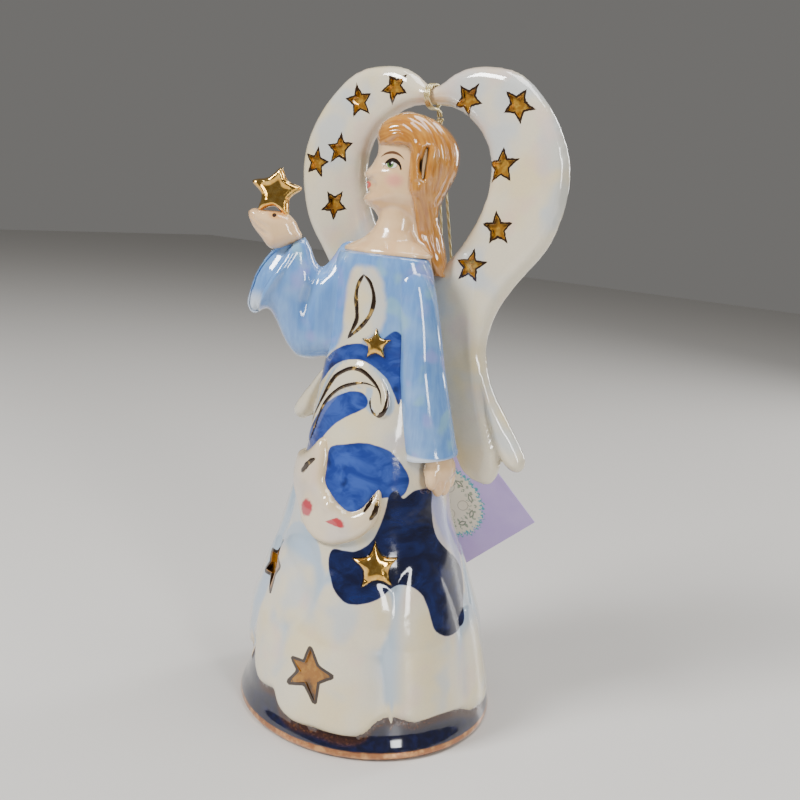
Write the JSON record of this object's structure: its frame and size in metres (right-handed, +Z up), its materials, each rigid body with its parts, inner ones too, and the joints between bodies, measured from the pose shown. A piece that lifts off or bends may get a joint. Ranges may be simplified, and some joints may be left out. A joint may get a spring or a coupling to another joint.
{
  "type": "porcelain angel bell",
  "caption": "Hand-painted porcelain angel figurine whose hollow skirt is a bell, with a hanging clapper, heart-shaped wings and a hang tag on a cord.",
  "frame": {"origin": "centre of the bell's rim, on the plane it stands on", "axes": "+Z up through the head, -Y the way the angel faces, +X towards the angel's left hand"},
  "size_m": [0.0796, 0.072, 0.1704],
  "materials": {
    "pearl_porcelain": "glazed pearl lustre over white porcelain, hand painted",
    "blue_robe_glaze": "glazed light blue brushwork",
    "skin_glaze": "glazed peach enamel, hand painted",
    "gold_lustre": "fired bright gold lustre over porcelain",
    "brass_wire": "drawn brass wire, slightly dulled",
    "metallic_cord": "thin braided cord with gold metallic thread",
    "tag_card": null
  },
  "bodies": {
    "root": {"bell_body": "pearl_porcelain", "head": "skin_glaze", "left_wing": "pearl_porcelain", "right_wing": "pearl_porcelain", "raised_sleeve": "blue_robe_glaze", "raised_hand": "skin_glaze", "held_star": "gold_lustre", "hanging_sleeve": "blue_robe_glaze", "hanging_hand": "skin_glaze", "moon": "pearl_porcelain", "chest_star": "gold_lustre", "skirt_star": "gold_lustre", "clapper_staple": "brass_wire", "cord_wrap": "metallic_cord"},
    "link": {"clapper_link": "brass_wire"},
    "clapper": {"clapper_rod": "brass_wire", "clapper_ball": "pearl_porcelain"},
    "knot": {"cord_knot": "metallic_cord"},
    "cord": {"cord_loop": "metallic_cord"},
    "tag": {"hang_tag": "tag_card"}
  },
  "joints": [
    {"name": "link_swing", "type": "hinge", "parent": "root", "child": "link", "pos_m": [-0.0008, -0.0025, 0.096], "axis": [1, 0, 0], "range_deg": [-10, 10]},
    {"name": "clapper_swing", "type": "hinge", "parent": "link", "child": "clapper", "pos_m": [-0.0008, -0.0025, 0.09], "axis": [0, 1, 0], "range_deg": [-10, 10]},
    {"name": "cord_sway", "type": "hinge", "parent": "root", "child": "knot", "pos_m": [0.0004, 0.0106, 0.1572], "axis": [0.3726, -0.9221, -0.1045], "range_deg": [0, 25]},
    {"name": "cord_swing", "type": "hinge", "parent": "knot", "child": "cord", "pos_m": [0.0004, 0.0106, 0.1572], "axis": [1, 0, 0], "range_deg": [0, 50]},
    {"name": "tag_turn", "type": "hinge", "parent": "cord", "child": "tag", "pos_m": [0.007, 0.025, 0.0725], "axis": [0.3726, -0.9221, -0.1045], "range_deg": [0, 20]}
  ]
}
